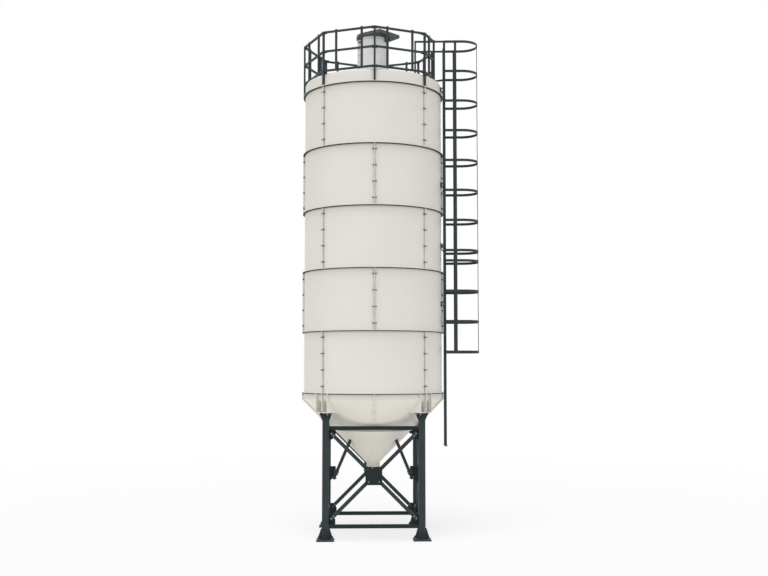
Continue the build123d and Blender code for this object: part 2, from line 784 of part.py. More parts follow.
side_strap_radius = ladder_radius + side_strap_offset
side_strap_place = cage_inside - face_gap - strap_thickness / 2
apex_strap_outer = cage_middle + sqrt(cage_inside**2 - strap_width**2 / 4) - face_gap
apex_strap_place = apex_strap_outer - strap_thickness / 2
lower_strap_length = upper_cage_start - lower_cage_start - face_gap
upper_strap_length = (upper_hoop_count - 1) * hoop_pitch + hoop_height
cages = {
    "lower": (lower_cage_start, lower_hoop_count, lower_strap_length),
    "upper": (upper_cage_start, upper_hoop_count, upper_strap_length),
}
for cage_name, (start, count, strap_length) in cages.items():
    hoop_levels = [start + hoop_pitch * row for row in range(count)]
    with BuildPart() as cage_hoops:
        with Locations(*[Location((0, 0, level), (0, 0, ladder_turn)) for level in hoop_levels]):
            add(hoop.part)
    cage_hoops.part.label = f"cage_hoops_{cage_name}"
    export_step(cage_hoops.part, f"parts/cage_hoops_{cage_name}.step")

    with BuildPart() as cage_straps:
        with BuildSketch(Plane.XY.offset(start - hoop_height / 2).rotated((0, 0, ladder_turn))):
            with Locations((side_strap_radius, -side_strap_place), (side_strap_radius, side_strap_place)):
                Rectangle(strap_width, strap_thickness)
            with Locations((apex_strap_place, 0)):
                Rectangle(strap_thickness, strap_width)
        extrude(amount=strap_length)
    cage_straps.part.label = f"cage_straps_{cage_name}"
    export_step(cage_straps.part, f"parts/cage_straps_{cage_name}.step")


# Ladder brackets: forked plates whose two arms spread from the shell to the
# back of each stile. Their levels are counted in rings above the lowest ring's
# foot, so that none meets a joint.
stile_back = ladder_radius - stile_depth / 2 - face_gap
bracket_inner = sqrt(shell_radius**2 - ladder_width**2 / 4) - bracket_arm
fork = shell_radius + bracket_thickness
with BuildPart() as shell_space:
    with BuildSketch(Plane.XY.offset(base_height)):
        Circle(shell_radius + face_gap)
    extrude(amount=cap_top - base_height)

with BuildPart() as ladder_brackets:
    for stile in (-ladder_width / 2, ladder_width / 2):
        with BuildSketch(ladder_side.offset(stile)):
            for level in [base_height + ring_height * ring for ring in bracket_rings]:
                with BuildLine():
                    Polyline(
                        (bracket_inner, level - bracket_root / 2),
                        (shell_radius, level - bracket_root / 2),
                        (stile_back, level - bracket_spread / 2),
                        (stile_back, level - bracket_spread / 2 + bracket_arm),
                        (fork, level),
                        (stile_back, level + bracket_spread / 2 - bracket_arm),
                        (stile_back, level + bracket_spread / 2),
                        (shell_radius, level + bracket_root / 2),
                        (bracket_inner, level + bracket_root / 2),
                        close=True,
                    )
                make_face()
        extrude(amount=bracket_thickness / 2, both=True)
    add(shell_space.part, mode=Mode.SUBTRACT)
ladder_brackets.part.label = "ladder_brackets"
export_step(ladder_brackets.part, "parts/ladder_brackets.step")


# Handrails: square bars from the top hoop in over the roof, mitred down to a
# foot. A short bar level with the next hoop ties the cage to the gate's upright.
handrail_level = ladder_top - hoop_height / 2
handrail_start = ladder_radius - hoop_thickness / 2 - face_gap
handrail_end = handrail_start - handrail_reach
with BuildPart() as handrail:
    with BuildLine(ladder_side) as handrail_path:
        Polyline(
            (handrail_start, handrail_level),
            (handrail_end, handrail_level),
            (handrail_end, cap_top),
        )
    with BuildSketch(Plane(handrail_path.line @ 0, z_dir=handrail_path.line % 0)):
        Rectangle(handrail_width, handrail_width)
    sweep(transition=Transition.RIGHT)
    with BuildSketch(Plane.XY.offset(cap_top).rotated((0, 0, ladder_turn))):
        with Locations((handrail_end, 0)):
            Circle(handrail_foot / 2)
    extrude(amount=handrail_foot_thickness + roof_height(handrail_end) - cap_top)

ladder_out = Vector(1, 0, 0).rotate(Axis.Z, ladder_turn)
ladder_across = Vector(0, 1, 0).rotate(Axis.Z, ladder_turn)
gate_turn = first_turn + 2 * corner_angle
gate_upright = Vector(rail_width / 2 - gate_back_end, -side_distance).rotate(Axis.Z, gate_turn)
arm_end = ladder_out * handrail_start + ladder_across * cage_half_width
gate_line = gate_upright - arm_end
gate_bar_turn = degrees(atan2(gate_line.Y, gate_line.X))
with BuildPart() as gate_bar:
    with BuildSketch(Plane.XY.offset(handrail_level - hoop_pitch - gate_bar_width / 2)):
        with Locations(Location((arm_end.X, arm_end.Y), gate_bar_turn)):
            with Locations((-gate_bar_width / 2, 0)):
                Rectangle(
                    gate_line.length + gate_bar_width / 2,
                    gate_bar_width,
                    align=(Align.MIN, Align.CENTER),
                )
        with Locations(Location((arm_end.X, arm_end.Y), ladder_turn)):
            Rectangle(
                2 * gate_bar_width,
                2 * gate_bar_width,
                align=(Align.MIN, Align.CENTER),
                mode=Mode.SUBTRACT,
            )
        with Locations(Location((gate_upright.X, gate_upright.Y), gate_turn)):
            Rectangle(rail_width + 2 * face_gap, rail_width + 2 * face_gap, mode=Mode.SUBTRACT)
    extrude(amount=gate_bar_width)

with BuildPart() as handrails:
    for side in (-cage_half_width, cage_half_width):
        with Locations(ladder_across * side):
            add(handrail.part)
    add(gate_bar.part)
    add(roof_space.part, mode=Mode.SUBTRACT)
handrails.part.label = "handrails"
export_step(handrails.part, "parts/handrails.step")
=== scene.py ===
# %% [markdown]
# # A bolted cement silo
# The drum is rolled steel sheet in quarter panels, bolted together through
# flanges that turn outwards. It stands on a braced frame of square tube.
# The CAD model already has the right sizes, so this lesson only lights it,
# paints it and adds the bolts, plates and welds that hold it together.

# %% Load the frame
import bpy
import json
import numpy as np
from math import cos, pi, radians, sin, sqrt
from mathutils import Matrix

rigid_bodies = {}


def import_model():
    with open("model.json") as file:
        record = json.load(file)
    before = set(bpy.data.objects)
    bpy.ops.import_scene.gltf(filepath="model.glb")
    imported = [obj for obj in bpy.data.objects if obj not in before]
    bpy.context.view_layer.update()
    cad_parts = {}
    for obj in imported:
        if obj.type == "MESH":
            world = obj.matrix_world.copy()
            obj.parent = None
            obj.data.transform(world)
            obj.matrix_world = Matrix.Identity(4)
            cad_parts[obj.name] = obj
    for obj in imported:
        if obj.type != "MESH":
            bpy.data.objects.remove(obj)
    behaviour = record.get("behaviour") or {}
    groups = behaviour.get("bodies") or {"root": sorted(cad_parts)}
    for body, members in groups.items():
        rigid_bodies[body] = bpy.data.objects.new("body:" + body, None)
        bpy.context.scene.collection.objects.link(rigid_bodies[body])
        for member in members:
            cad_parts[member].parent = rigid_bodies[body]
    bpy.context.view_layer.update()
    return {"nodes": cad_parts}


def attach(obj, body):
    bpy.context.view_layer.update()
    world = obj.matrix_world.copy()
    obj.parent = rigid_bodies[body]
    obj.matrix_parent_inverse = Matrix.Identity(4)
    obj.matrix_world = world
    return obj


for leftover in list(bpy.data.objects):
    bpy.data.objects.remove(leftover)
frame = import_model()
nodes = frame["nodes"]

# %% [markdown]
# ## Camera
# The photograph looks up a little from far off, with a normal lens. The place
# and the turn come from matching the joints of the drum and the feet.

# %% Camera
camera_place = (-0.475, -23.363, 3.514)
camera_turn = (radians(94.385), 0.0, radians(-1.758))
camera_data = bpy.data.cameras.new("camera")
camera_data.lens = 50.0
camera_data.sensor_width = 36.0
camera = bpy.data.objects.new("camera", camera_data)
camera.location = camera_place
camera.rotation_euler = camera_turn
bpy.context.scene.collection.objects.link(camera)
bpy.context.scene.camera = camera
print("camera at", camera_place)

# %% [markdown]
# ## Light
# A studio's even white room is a plain bright world. The camera and the
# reflections see pure white, while the light itself stays at a level at which a
# colour renders about as it is written.

# %% World
room_light = 0.32
white = (1.0, 1.0, 1.0, 1.0)
scene = bpy.context.scene
scene.view_settings.view_transform = "Standard"
world = bpy.data.worlds.new("studio_room")
scene.world = world
world.use_nodes = True


def seen_directly(tree):
    """1 for rays from the camera, a reflection or a transmission, else 0."""
    path = tree.nodes.new("ShaderNodeLightPath")
    add = tree.nodes.new("ShaderNodeMath")
    add.operation = "ADD"
    tree.links.new(path.outputs["Is Camera Ray"], add.inputs[0])
    tree.links.new(path.outputs["Is Glossy Ray"], add.inputs[1])
    both = tree.nodes.new("ShaderNodeMath")
    both.operation = "ADD"
    both.use_clamp = True
    tree.links.new(add.outputs[0], both.inputs[0])
    tree.links.new(path.outputs["Is Transmission Ray"], both.inputs[1])
    return both.outputs[0]


room_tree = world.node_tree
room = room_tree.nodes["Background"]
room.inputs["Color"].default_value = white
room.inputs["Strength"].default_value = room_light
backdrop = room_tree.nodes.new("ShaderNodeBackground")
backdrop.inputs["Color"].default_value = white
choice = room_tree.nodes.new("ShaderNodeMixShader")
room_tree.links.new(seen_directly(room_tree), choice.inputs["Fac"])
room_tree.links.new(room.outputs[0], choice.inputs[1])
room_tree.links.new(backdrop.outputs[0], choice.inputs[2])
room_tree.links.new(choice.outputs[0], room_tree.nodes["World Output"].inputs["Surface"])
print("room light", room_light)

# %% [markdown]
# Four lamps give the drum its form. A very broad one stands high in front and a
# little to the left. A narrower one, nearly overhead, rakes down the drum, so
# that each flange lays a soft shade under itself. Two low and broad ones at the
# sides brighten the drum's edges.

# %% Lamps
# Each lamp: strength, width, lean from overhead and azimuth, in degrees.
lamps = {
    "key_light": (0.58, 60, 42, -10),
    "ceiling_light": (1.35, 24, 12, -20),
    "left_light": (0.46, 50, 80, -62),
    "right_light": (0.42, 50, 80, 58),
}
for name, (strength, width, lean, azimuth) in lamps.items():
    lamp_data = bpy.data.lights.new(name, "SUN")
    lamp_data.energy = strength
    lamp_data.angle = radians(width)
    lamp = bpy.data.objects.new(name, lamp_data)
    lamp.rotation_euler = (radians(lean), 0.0, radians(azimuth))
    scene.collection.objects.link(lamp)
    print(name, "strength", strength, "leans", lean, "degrees")

# %% [markdown]
# ## Floor
# The floor is white and keeps only a faint shadow. Most of what the camera
# sees of it is an even white glow, and the rest is a plain matt surface. Far
# from the silo it is all glow, so that it runs into the backdrop without a
# line. To every other ray it is an even glow, so it lights the hopper and the
# frame evenly from below.

# %% Floor
floor_half = 60.0
floor_white = (0.96, 0.96, 0.96, 1.0)
floor_roughness = 0.9
glow_in_view = 0.76
glow_on_silo = 1.0
fade_start, fade_end = 7.0, 22.0
floor_mesh = bpy.data.meshes.new("studio_floor")
floor_corners = np.array([(-1, -1, 0), (1, -1, 0), (1, 1, 0), (-1, 1, 0)]) * floor_half
floor_mesh.from_pydata(floor_corners.tolist(), [], [(0, 1, 2, 3)])
floor = bpy.data.objects.new("studio_floor", floor_mesh)
scene.collection.objects.link(floor)
print("floor reaches", floor_half, "m each way")

# %% [markdown]
# The share of glow grows with the distance from the silo for the rays that the
# camera and the reflections send, and is full for all others.

# %% Floor paint
floor_paint = bpy.data.materials.new("floor_paint")
floor_paint.use_nodes = True
floor_tree = floor_paint.node_tree
matt = floor_tree.nodes["Principled BSDF"]
matt.inputs["Base Color"].default_value = floor_white
matt.inputs["Roughness"].default_value = floor_roughness
matt.inputs["Specular IOR Level"].default_value = 0.0
glow = floor_tree.nodes.new("ShaderNodeEmission")
far = floor_tree.nodes.new("ShaderNodeVectorMath")
far.operation = "LENGTH"
floor_tree.links.new(floor_tree.nodes.new("ShaderNodeTexCoord").outputs["Object"], far.inputs[0])
fade = floor_tree.nodes.new("ShaderNodeMapRange")
fade.inputs["From Min"].default_value = fade_start
fade.inputs["From Max"].default_value = fade_end
fade.inputs["To Min"].default_value = glow_in_view
floor_tree.links.new(far.outputs["Value"], fade.inputs["Value"])
share = floor_tree.nodes.new("ShaderNodeMapRange")
share.inputs["To Min"].default_value = glow_on_silo
floor_tree.links.new(seen_directly(floor_tree), share.inputs["Value"])
floor_tree.links.new(fade.outputs["Result"], share.inputs["To Max"])
floor_mix = floor_tree.nodes.new("ShaderNodeMixShader")
floor_tree.links.new(share.outputs["Result"], floor_mix.inputs["Fac"])
floor_tree.links.new(matt.outputs[0], floor_mix.inputs[1])
floor_tree.links.new(glow.outputs[0], floor_mix.inputs[2])
floor_tree.links.new(floor_mix.outputs[0], floor_tree.nodes["Material Output"].inputs["Surface"])
floor_mesh.materials.append(floor_paint)
print("share of glow from", glow_in_view, "at", fade_start, "m to 1 at", fade_end, "m")

# %% [markdown]
# ## Finishes
# Every steel part is sprayed. Such paint is never one flat colour: its tone
# drifts over a panel, its gloss changes with the thickness of the coat, and up
# close it has the fine dimples of orange peel. A few short functions build the
# nodes for that.

# %% Paint nodes
def node(tree, kind, **inputs):
    """A new node, with constants set on the sockets that are named."""
    made = tree.nodes.new(kind)
    for name, value in inputs.items():
        made.inputs[name.replace("_", " ")].default_value = value
    return made


def noise(tree, place, scale, detail=3.0):
    """Noise over Object coordinates, scale waves to a metre."""
    made = node(tree, "ShaderNodeTexNoise", Scale=scale, Detail=detail)
    tree.links.new(place, made.inputs["Vector"])
    return made.outputs["Fac"]


def spread(tree, value, low, high, start=0.3, end=0.7):
    """A value carried from the range start..end to the range low..high."""
    made = node(tree, "ShaderNodeMapRange", From_Min=start, From_Max=end, To_Min=low, To_Max=high)
    tree.links.new(value, made.inputs["Value"])
    return made.outputs["Result"]


def blend(tree, factor, first, second):
    """A colour between two others. Each may be a constant or a socket."""
    made = tree.nodes.new("ShaderNodeMix")
    made.data_type = "RGBA"
    tree.links.new(factor, made.inputs[0])
    for socket, colour in ((made.inputs[6], first), (made.inputs[7], second)):
        if isinstance(colour, tuple):
            socket.default_value = (*colour, 1.0)
        else:
            tree.links.new(colour, socket)
    return made.outputs[2]


def facing(tree, low, high):
    """0 to 1 as a face's normal turns from low to high along Z."""
    surface = tree.nodes.new("ShaderNodeNewGeometry")
    parts = tree.nodes.new("ShaderNodeSeparateXYZ")
    tree.links.new(surface.outputs["Normal"], parts.inputs[0])
    return spread(tree, parts.outputs["Z"], 0.0, 1.0, low, high)


def bump(tree, shader, height, depth):
    """Bump of a depth in metres from a height texture."""
    made = node(tree, "ShaderNodeBump", Strength=1.0, Distance=depth)
    tree.links.new(height, made.inputs["Height"])
    tree.links.new(made.outputs["Normal"], shader.inputs["Normal"])


print("noise, spread, blend, facing and bump are ready")

# %% [markdown]
# Three noise textures on Object coordinates give the three effects at their own
# scales. A little pale dust rests on faces that look up. Faces that look down can
# get a colour of their own, which is painted light and shade: lighter where it
# stands for light bounced up from below, darker where it stands for shade.

# %% Painted steel
grain_depth = 0.00004
grain_detail = 2.0
gloss_waves = 9
dusty_normals = (0.5, 1.6)
painted_underside_normals = (-0.4, -0.9)


def finish(name, tones, gloss, drift=0.8, grain=700.0, metal=0.0, shine=0.5, dust=None, painted_underside=None):
    """A finish: colour drifts between two tones, roughness between two values.

    drift is the waves to a metre of the colour, and the roughness has
    gloss_waves times as many. grain is the scale of the surface texture. dust is
    the colour that rests on faces that look up. The colour given for faces that
    look down is painted light and shade: lighter where it stands for light
    bounced up from below, darker where it stands for shade."""
    made = bpy.data.materials.new(name)
    made.use_nodes = True
    tree = made.node_tree
    shader = tree.nodes["Principled BSDF"]
    shader.inputs["Metallic"].default_value = metal
    shader.inputs["Specular IOR Level"].default_value = shine
    place = tree.nodes.new("ShaderNodeTexCoord").outputs["Object"]
    colour = blend(tree, spread(tree, noise(tree, place, drift), 0.0, 1.0), *tones)
    if dust is not None:
        colour = blend(tree, facing(tree, *dusty_normals), colour, dust)
    # Painted light and shade: faces that look down get a colour of their own.
    if painted_underside is not None:
        colour = blend(tree, facing(tree, *painted_underside_normals), colour, painted_underside)
    tree.links.new(colour, shader.inputs["Base Color"])
    roughness = spread(tree, noise(tree, place, drift * gloss_waves), *gloss)
    tree.links.new(roughness, shader.inputs["Roughness"])
    bump(tree, shader, noise(tree, place, grain, grain_detail), grain_depth)
    return made


# The drum's and the hopper's faces that look down get a lighter, warmer colour: painted light, for the warm
# light bounced up from the floor.
shell_paint = finish(
    "shell_paint",
    ((0.785, 0.765, 0.708), (0.76, 0.74, 0.682)),
    (0.42, 0.54),
    painted_underside=(0.845, 0.81, 0.715),
)
frame_paint = finish(
    "frame_paint",
    ((0.026, 0.037, 0.04), (0.033, 0.045, 0.048)),
    (0.42, 0.58),
    drift=2.0,
    shine=0.2,
    dust=(0.1, 0.105, 0.105),
)
# A darker copy of the frame's paint: painted shade, for the shade that the ties and gussets lie in beneath
# the drum and the hopper.
tie_painted_shade = finish(
    "tie_painted_shade",
    ((0.017, 0.025, 0.027), (0.022, 0.031, 0.033)),
    (0.46, 0.6),
    drift=2.0,
    shine=0.12,
    dust=(0.08, 0.085, 0.085),
)
filter_paint = finish("filter_paint", ((0.86, 0.86, 0.855), (0.83, 0.83, 0.825)), (0.26, 0.36), drift=1.5)
# The lid's faces that look down get a near-black colour: painted shade, for the shade beneath the lid.
lid_paint = finish(
    "lid_paint",
    ((0.06, 0.08, 0.086), (0.07, 0.092, 0.098)),
    (0.4, 0.52),
    drift=3.0,
    shine=0.3,
    painted_underside=(0.03, 0.026, 0.023),
)
print("paints:", shell_paint.name, frame_paint.name, tie_painted_shade.name, filter_paint.name, lid_paint.name)

# %% [markdown]
# Most of the frame's bolts are zinc-plated, which is a dull and slightly
# mottled grey metal. The drum's bolts have a dark coat, so that they show as
# dark dots on the pale panels. The rings are sealed with black rubber and the
# seams with grey mastic, whose khaki colour is also painted shade in the
# corners beside the seams. Weld beads and the bolts painted over with the frame
# share a slightly lighter coat.

# %% Bare metal and rubber
zinc = finish("zinc_plate", ((0.32, 0.32, 0.305), (0.25, 0.25, 0.24)), (0.28, 0.45), drift=60.0, metal=0.85)
dark_steel = finish(
    "dark_steel",
    ((0.13, 0.12, 0.095), (0.09, 0.083, 0.066)),
    (0.4, 0.6),
    drift=40.0,
    metal=0.4,
)
rubber = finish(
    "sealing_rubber",
    ((0.028, 0.027, 0.025), (0.02, 0.019, 0.018)),
    (0.65, 0.85),
    drift=12.0,
    grain=300.0,
)
# Its khaki colour is partly the mastic's own and partly painted shade, for the shade in the corners beside
# the seams.
mastic_and_shade = finish(
    "grey_mastic_and_painted_shade",
    ((0.4, 0.378, 0.33), (0.35, 0.33, 0.287)),
    (0.6, 0.8),
    drift=9.0,
    grain=400.0,
)
weld_steel = finish("painted_weld", ((0.046, 0.059, 0.063), (0.036, 0.046, 0.05)), (0.4, 0.55), drift=20.0)
print("fasteners:", zinc.name, dark_steel.name, rubber.name, mastic_and_shade.name, weld_steel.name)

# %% [markdown]
# ## Paint the CAD nodes
# Each node's name says what it is, so its first word or two choose the paint.
# The ties and the gussets are darker than the legs in the photograph, so they
# get a darker copy of the frame's paint, which is painted shade.

# %% Paint the CAD nodes
paint_of = {
    "shell_ring": shell_paint,
    "hopper_segments": shell_paint,
    "hopper_cone": shell_paint,
    "leg_seats": shell_paint,
    "roof": shell_paint,
    "filter_body": filter_paint,
    "filter_base": filter_paint,
    "filter_lid": lid_paint,
    "upper_ties": tie_painted_shade,
    "lower_ties": tie_painted_shade,
    "middle_gussets": tie_painted_shade,
    "corner_gussets": tie_painted_shade,
}
for name, part in nodes.items():
    chosen = [paint for start, paint in paint_of.items() if name.startswith(start)]
    part.data.materials.clear()
    part.data.materials.append(chosen[0] if chosen else frame_paint)
print("painted", len(nodes), "nodes")

# %% [markdown]
# ## Turned shapes and copies
# Bolts, nuts, strips and beads are all a profile carried round an axis, so one
# function makes them: it works out every point at once as an array. The faces
# follow from the number of rows and columns alone.

# %% Turned shapes
def turned(profile, sides):
    """Points (r cos a, r sin a, z) for each (r, z) of a profile and each angle a."""
    angles = np.arange(sides) * 2 * pi / sides
    r, z = np.asarray(profile, float).T
    x = r[:, None] * np.cos(angles)
    y = r[:, None] * np.sin(angles)
    return np.stack([x, y, np.broadcast_to(z[:, None], x.shape)], axis=-1).reshape(-1, 3)


def wall(rows, columns, loop=False):
    """Quads between neighbouring rows of points, each row closed on itself.

    With loop, the last row also joins the first."""
    row, column = np.meshgrid(np.arange(rows if loop else rows - 1), np.arange(columns), indexing="ij")
    above = (row + 1) % rows
    after = (column + 1) % columns
    lower = (row * columns + column, row * columns + after)
    upper = (above * columns + after, above * columns + column)
    return np.stack(lower + upper, axis=-1).reshape(-1, 4).tolist()


def closed(rows, columns):
    """The wall and a flat polygon over each end."""
    ends = [list(range(columns))[::-1], list(range((rows - 1) * columns, rows * columns))]
    return wall(rows, columns) + ends


print("a plain nut has", len(closed(2, 6)), "faces")

# %% [markdown]
# A bolt is wanted in hundreds of places. One function lays copies of a shape on
# arrays of places and directions, and another turns copies about the drum's
# axis.

# %% Copies in place
nearly_upright = 0.9


def placed(points, places, axes):
    """Copies of points: each place gets them with their Z along its axis.

    A point (x, y, z) goes to place + x * side + y * up + z * axis, where side is
    at right angles to the axis and to Z, and up is at right angles to both. For
    an axis that is nearly upright, side is at right angles to X instead."""
    places = np.asarray(places, float)
    axes = np.asarray(axes, float)
    axes = axes / np.linalg.norm(axes, axis=1, keepdims=True)
    reference = np.where(np.abs(axes[:, 2:]) > nearly_upright, (1.0, 0.0, 0.0), (0.0, 0.0, 1.0))
    side = np.cross(reference, axes)
    side = side / np.linalg.norm(side, axis=1, keepdims=True)
    up = np.cross(axes, side)
    turns = np.stack([side, up, axes], axis=1)
    return places[:, None, :] + np.einsum("pk,nkc->npc", points, turns)


def around(points, azimuths, centre=(0.0, 0.0, 0.0)):
    """Copies of points turned about Z to each azimuth in radians, then moved."""
    turn = np.atleast_1d(azimuths)[:, None]
    x, y, z = np.asarray(points, float).T
    out = x * np.cos(turn) - y * np.sin(turn)
    aside = x * np.sin(turn) + y * np.cos(turn)
    return np.stack([out, aside, np.broadcast_to(z, out.shape)], axis=-1) + np.asarray(centre, float)


def on_circle(radius, turn, level):
    """Points (radius cos turn, radius sin turn, level) from arrays."""
    return np.stack([radius * np.cos(turn), radius * np.sin(turn), level], axis=1)


def along_circle(turn):
    """Level directions at right angles to each azimuth: (-sin turn, cos turn, 0)."""
    return np.stack([-np.sin(turn), np.cos(turn), 0 * turn], axis=1)


def upward(count):
    """That many directions straight up."""
    return np.tile((0.0, 0.0, 1.0), (count, 1))


print("a quarter turn takes X to", around([(1.0, 0.0, 0.0)], pi / 2).round(3).tolist())

# %% [markdown]
# Plates are slabs with eased edges, which catch a thin line of light as cut
# steel does. The last helper makes the mesh object of any of these shapes and
# hangs it on the silo's body, so that it rides with it.

# %% Plates and pieces
eased_edge = 0.0015


def slab(outline, thickness):
    """Four rings of an outline in x and y: a plate from z = 0 up with eased edges."""
    outline = np.asarray(outline, float)
    middle = outline.mean(axis=0)
    small = middle + (outline - middle) * (1 - eased_edge / np.abs(outline - middle).max())
    levels = ((small, 0.0), (outline, eased_edge), (outline, thickness - eased_edge), (small, thickness))
    return np.concatenate([np.column_stack([ring, np.full(len(ring), z)]) for ring, z in levels])


def rectangle(half_width, half_height):
    """The four corners of a rectangle about the origin, counter-clockwise."""
    return [
        (-half_width, -half_height),
        (half_width, -half_height),
        (half_width, half_height),
        (-half_width, half_height),
    ]


def piece(name, points, faces, material, crease=35.0):
    """A mesh object of points and faces that rides with the silo.

    points may hold several copies of a shape, and faces are then repeated."""
    points = np.asarray(points, float)
    copies = points.reshape(-1, points.shape[-2], 3)
    step = copies.shape[1]
    every = [[corner + step * copy for corner in face] for copy in range(len(copies)) for face in faces]
    mesh = bpy.data.meshes.new(name)
    mesh.from_pydata(copies.reshape(-1, 3).tolist(), [], every)
    mesh.shade_smooth()
    mesh.set_sharp_from_angle(angle=radians(crease))
    mesh.materials.append(material)
    made = bpy.data.objects.new(name, mesh)
    scene.collection.objects.link(made)
    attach(made, "root")
    print(name, len(copies), "copies,", len(every), "faces")


print("a plate's edges are eased by", eased_edge, "m")

# %% [markdown]
# ## Sealing strips
# Where two rings meet, a rubber strip is pressed up under the lower flange. It
# shows as the thin dark line round the drum. It is a flat band turned round
# the axis, a little narrower than the flange that it hangs under.

# %% Sealing strips
shell_radius = 1.5
flange_width = 0.045
flange_thickness = 0.006
base_height = 3.03
ring_height = 1.3
ring_count = 5
strip_height = 0.018
strip_inset = 0.003
strip_gap = 0.001
strip_sides = 180


def strip(joint):
    """A closed band: four corners of its section carried round the axis."""
    top = joint - flange_thickness
    bottom = top - strip_height
    inner = shell_radius + strip_gap
    outer = shell_radius + flange_width - strip_inset
    return turned([(inner, bottom), (outer, bottom), (outer, top), (inner, top)], strip_sides)


joints = base_height + ring_height * np.arange(ring_count + 1)
strips = np.stack([strip(joint) for joint in joints])
piece("sealing_strips", strips, wall(4, strip_sides, loop=True), rubber)

# %% [markdown]
# ## Bolts
# A bolt is a hexagon head with a chamfered rim, a washer under it and a nut on
# the far side with a stub of thread. The head and the nut have six sides, and
# the washer and the shank are rounder, so they are two shapes. A bolt's sizes
# are shares of its width across the flats.

# %% Bolt shapes
washer_thickness = 0.12
washer_radius = 0.62
head_height = 0.5
nut_height = 0.62
thread_radius = 0.3
chamfer_start = 0.78
chamfer_top = 0.84
round_sides = 12


def hexagon(across, thickness):
    """Profile of a hexagon head, chamfered at its outer rim, from z = 0 up."""
    corner = across / sqrt(3)
    return [(corner, 0.0), (corner, chamfer_start * thickness), (chamfer_top * corner, thickness)]


def rod(radius, bottom, top):
    """A plain round bar between two heights."""
    return turned([(radius, bottom), (radius, top)], round_sides)


def bolt_parts(across, grip, stub):
    """The head, the nut and the round parts of a bolt through a joint.

    The joint lies from z = -grip to 0, with the head above it and the nut below."""
    washer = washer_thickness * across
    head = turned([(r, z + washer) for r, z in hexagon(across, head_height * across)], 6)
    nut = turned([(r, -z - grip - washer) for r, z in hexagon(across, nut_height * across)][::-1], 6)
    over = rod(washer_radius * across, 0.0, washer)
    below = rod(washer_radius * across, -grip - washer, -grip)
    thread = rod(thread_radius * across, -grip - washer - nut_height * across - stub, -grip)
    return (head, nut), (over, below, thread)


def bolts(name, places, axes, material, across, grip, stub=0.0, slot="frame_paint", reach=0.0, nuts=True):
    """Bolts at arrays of places and head directions.

    With reach, each is a stud: its thread stands out by reach past the head too.
    Without nuts, only the heads and their washers are made."""
    hexes, rounds = bolt_parts(across, grip, stub)
    if reach:
        rounds = (*rounds, rod(thread_radius * across, 0.0, nut_height * across + reach))
    if not nuts:
        hexes, rounds = hexes[:1], rounds[:1]
    heads = np.concatenate([placed(shape, places, axes) for shape in hexes])
    piece(name + "_heads", heads, closed(3, 6), material)
    washers = np.concatenate([placed(shape, places, axes) for shape in rounds])
    piece(name + "_washers", washers, closed(2, round_sides), material)


print("a 30 mm hexagon is", round(2000 * hexagon(0.03, 1.0)[0][0], 1), "mm across its corners")

# %% [markdown]
# ## Seam bolts
# Each upright seam is a pair of flanges drawn together by four studs with a nut
# at each end. One ring's seams stand half a panel round from the next ring's.
# The studs lie level, across the seam.

# %% Seam bolts
panels = 4
seam_bolt_heights = np.array([0.14, 0.48, 0.82, 1.16])
seam_bolt_radius = shell_radius + 0.58 * flange_width


def seam_turn(ring, seam):
    """Azimuth of a ring's seam, half a panel further in the rings 0, 2 and 4."""
    return ((seam + 0.5 * (ring % 2 == 0)) * 2 * pi / panels).ravel()


ring, seam, row = np.meshgrid(np.arange(ring_count), np.arange(panels), np.arange(4), indexing="ij")
seam_angle = seam_turn(ring, seam)
seam_height = (base_height + ring * ring_height + seam_bolt_heights[row]).ravel()
seam_across = along_circle(seam_angle)
seam_face = on_circle(seam_bolt_radius, seam_angle, seam_height) + flange_thickness * seam_across
stud = {"across": 0.03, "grip": 2 * flange_thickness, "stub": 0.025, "reach": 0.03}
bolts("seam_studs", seam_face, seam_across, dark_steel, **stud)

# %% [markdown]
# A line of mastic is run down each side of a seam, in the corner between the
# flange and the sheet. Its khaki is partly the mastic's own colour and partly
# painted shade, for the shade that falls in that corner. It is a thin prism with
# a row of points every few centimetres, so that its width wavers a little, as one
# drawn by hand does.

# %% Mastic and painted shade in the seams
mastic_shade_width = 0.011
mastic_shade_sink = 0.001
mastic_shade_rows = 41
slow_waver, slow_waves = 0.16, 23
fast_waver, fast_waves = 0.12, 61
ring, seam, side = np.meshgrid(np.arange(ring_count), np.arange(panels), (-1, 1), indexing="ij")
mastic_shade_turn = seam_turn(ring, seam)
mastic_shade_bottom = (base_height + ring * ring_height).ravel() + flange_thickness
mastic_shade_level = np.linspace(0.0, ring_height - 2 * flange_thickness - strip_height, mastic_shade_rows)
waver = slow_waver * np.sin(mastic_shade_level * slow_waves) + fast_waver * np.sin(mastic_shade_level * fast_waves)
mastic_shade_size = (mastic_shade_width * (1 + waver))[:, None]
mastic_shade_corners = np.array([(0, 0), (0, 1), (1, 0)])
mastic_shade_lines = []
for turn, bottom, way in zip(mastic_shade_turn, mastic_shade_bottom, side.ravel()):
    out, aside = (mastic_shade_corners if way < 0 else mastic_shade_corners[::-1]).T
    x = shell_radius - mastic_shade_sink + out * mastic_shade_size
    y = way * (flange_thickness + aside * mastic_shade_size)
    z = np.broadcast_to((bottom + mastic_shade_level)[:, None], x.shape)
    mastic_shade_lines.append(around(np.stack([x, y, z], axis=-1).reshape(-1, 3), turn)[0])
piece("seam_mastic_and_painted_shade", np.stack(mastic_shade_lines), closed(mastic_shade_rows, 3), mastic_and_shade)

# %% [markdown]
# ## Hopper seams
# The four segments of the upper hopper are joined by short bolts that are
# painted over with the sheet, so that they hardly show. They follow the slope
# of the cone.

